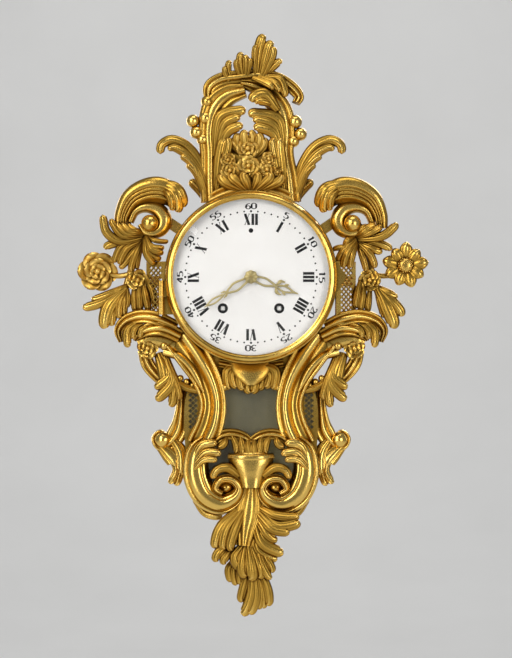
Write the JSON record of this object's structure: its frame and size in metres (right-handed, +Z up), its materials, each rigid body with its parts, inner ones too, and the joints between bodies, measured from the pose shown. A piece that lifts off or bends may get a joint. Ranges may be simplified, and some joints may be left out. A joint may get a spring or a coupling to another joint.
{
  "type": "cartel clock",
  "caption": "Gilt bronze rococo wall clock: leaf and scroll case round a drum, domed enamel dial, hinged glazed bezel, pierced hands, spring movement that strikes a bell, short pendulum.",
  "frame": {"origin": "where the dial's axis meets the wall, on the back plate's flat rear face", "axes": "+Z up the wall, +Y into the wall, +X to the right of someone reading the dial, which faces -Y"},
  "size_m": [0.397, 0.1053, 0.6587],
  "materials": {
    "gilt_bronze": "mercury gilding, burnished on the high places and matt in the hollows",
    "painted_back": "flat olive paint",
    "clear_glass": "clear",
    "white_enamel": "fired white enamel on copper",
    "steel": "polished steel",
    "movement_brass": "grained brass",
    "bell_bronze": "turned bell metal"
  },
  "bodies": {
    "case": {"case_body": "gilt_bronze", "left_pilaster": "gilt_bronze", "right_pilaster": "gilt_bronze", "left_lower_scroll": "gilt_bronze", "right_lower_scroll": "gilt_bronze", "left_side_volute": "gilt_bronze", "right_side_volute": "gilt_bronze", "left_waist_leaf": "gilt_bronze", "right_waist_leaf": "gilt_bronze", "left_shoulder_leaf": "gilt_bronze", "right_shoulder_leaf": "gilt_bronze", "left_wing_scroll": "gilt_bronze", "right_wing_scroll": "gilt_bronze", "left_wing_leaves": "gilt_bronze", "right_wing_leaves": "gilt_bronze", "rose_spray": "gilt_bronze", "sunflower_spray": "gilt_bronze", "left_side_fret": "gilt_bronze", "right_side_fret": "gilt_bronze", "crest_left_arm": "gilt_bronze", "crest_right_arm": "gilt_bronze", "crest_bouquet": "gilt_bronze", "crest_branch": "gilt_bronze", "window_shell": "gilt_bronze", "lower_arch": "gilt_bronze", "lower_vase": "gilt_bronze", "bottom_spray": "gilt_bronze", "tail_leaf": "gilt_bronze", "back_plate": "painted_back", "window_pane": "clear_glass", "dial": "white_enamel", "hinge_pin": "steel", "front_plate": "movement_brass", "rear_plate": "movement_brass", "pillars": "movement_brass", "movement_straps": "movement_brass", "back_cock": "movement_brass", "bell": "bell_bronze"},
    "bezel": {"bezel": "gilt_bronze", "bezel_glass": "clear_glass"},
    "minute": {"minute_hand": "gilt_bronze", "cannon_pinion": "steel"},
    "minute_wheel": {"minute_wheel": "movement_brass"},
    "hour": {"hour_hand": "gilt_bronze", "hour_wheel": "movement_brass"},
    "going_barrel": {"going_barrel": "movement_brass"},
    "going_arbor": {"going_arbor": "steel"},
    "second": {"second_wheel": "movement_brass"},
    "centre": {"centre_wheel": "movement_brass"},
    "third": {"third_wheel": "movement_brass"},
    "escape": {"escape_wheel": "movement_brass"},
    "pallets": {"pallets": "steel"},
    "pendulum": {"pendulum": "movement_brass"},
    "strike_barrel": {"strike_barrel": "movement_brass"},
    "strike_arbor": {"strike_arbor": "steel"},
    "count": {"count_wheel": "movement_brass"},
    "pin": {"pin_wheel": "movement_brass"},
    "locking": {"locking_wheel": "movement_brass"},
    "fly": {"fly": "movement_brass"},
    "hammer": {"hammer": "steel"}
  },
  "joints": [
    {"name": "bezel_hinge", "type": "hinge", "parent": "case", "child": "bezel", "pos_m": [-0.1008, -0.0916, -0.023], "axis": [0, 0, -1], "range_deg": [0, 105]},
    {"name": "minute_turn", "type": "hinge", "parent": "case", "child": "minute", "pos_m": [0, -0.09, 0], "axis": [0, 1, 0], "continuous": true},
    {"name": "minute_wheel_turn", "type": "hinge", "parent": "case", "child": "minute_wheel", "pos_m": [-0.01018, -0.08, 0.01018], "axis": [0, 1, 0], "continuous": true},
    {"name": "hour_turn", "type": "hinge", "parent": "case", "child": "hour", "pos_m": [0, -0.085, 0], "axis": [0, 1, 0], "continuous": true},
    {"name": "train_run", "type": "hinge", "parent": "case", "child": "escape", "pos_m": [0, -0.05, 0.042], "axis": [0, 1, 0], "continuous": true},
    {"name": "third_turn", "type": "hinge", "parent": "case", "child": "third", "pos_m": [0.01123, -0.054, 0.02229], "axis": [0, 1, 0], "continuous": true},
    {"name": "centre_turn", "type": "hinge", "parent": "case", "child": "centre", "pos_m": [0, -0.06, 0], "axis": [0, 1, 0], "continuous": true},
    {"name": "second_turn", "type": "hinge", "parent": "case", "child": "second", "pos_m": [0.02634, -0.055, -0.0018], "axis": [0, 1, 0], "continuous": true},
    {"name": "going_barrel_turn", "type": "hinge", "parent": "case", "child": "going_barrel", "pos_m": [0.0315, -0.055, -0.035], "axis": [0, 1, 0], "continuous": true},
    {"name": "going_wind", "type": "hinge", "parent": "case", "child": "going_arbor", "pos_m": [0.0315, -0.06, -0.035], "axis": [0, 1, 0], "continuous": true},
    {"name": "pendulum_swing", "type": "hinge", "parent": "case", "child": "pendulum", "pos_m": [0, -0.023, 0.064], "axis": [0, 1, 0], "range_deg": [-2.5, 2.5]},
    {"name": "pallet_rock", "type": "hinge", "parent": "case", "child": "pallets", "pos_m": [0, -0.05, 0.064], "axis": [0, 1, 0], "range_deg": [-2.5, 2.5]},
    {"name": "strike_run", "type": "hinge", "parent": "case", "child": "fly", "pos_m": [-0.03398, -0.05, 0.04463], "axis": [0, 1, 0], "continuous": true},
    {"name": "locking_turn", "type": "hinge", "parent": "case", "child": "locking", "pos_m": [-0.02151, -0.058, 0.03743], "axis": [0, 1, 0], "continuous": true},
    {"name": "pin_wheel_turn", "type": "hinge", "parent": "case", "child": "pin", "pos_m": [-0.03051, -0.06, 0.02184], "axis": [0, 1, 0], "continuous": true},
    {"name": "count_wheel_turn", "type": "hinge", "parent": "case", "child": "count", "pos_m": [-0.02634, -0.05, -0.0018], "axis": [0, 1, 0], "continuous": true},
    {"name": "strike_barrel_turn", "type": "hinge", "parent": "case", "child": "strike_barrel", "pos_m": [-0.0315, -0.055, -0.035], "axis": [0, 1, 0], "continuous": true},
    {"name": "strike_wind", "type": "hinge", "parent": "case", "child": "strike_arbor", "pos_m": [-0.0315, -0.06, -0.035], "axis": [0, 1, 0], "continuous": true},
    {"name": "hammer_lift", "type": "hinge", "parent": "case", "child": "hammer", "pos_m": [-0.05585, -0.05, 0.01409], "axis": [0, -1, 0], "range_deg": [0, 8]}
  ],
  "couplings": [
    {"joint": "minute_wheel_turn", "follows": "minute_turn", "ratio": -0.33333},
    {"joint": "hour_turn", "follows": "minute_turn", "ratio": 0.083333},
    {"joint": "third_turn", "follows": "train_run", "ratio": -0.08},
    {"joint": "centre_turn", "follows": "train_run", "ratio": 0.0066667},
    {"joint": "second_turn", "follows": "train_run", "ratio": -0.00066667},
    {"joint": "going_barrel_turn", "follows": "train_run", "ratio": 0.000095238},
    {"joint": "pallet_rock", "follows": "pendulum_swing", "ratio": 1},
    {"joint": "locking_turn", "follows": "strike_run", "ratio": -0.14286},
    {"joint": "pin_wheel_turn", "follows": "strike_run", "ratio": 0.017857},
    {"joint": "count_wheel_turn", "follows": "strike_run", "ratio": -0.0019841},
    {"joint": "strike_barrel_turn", "follows": "strike_run", "ratio": 0.00028345}
  ]
}
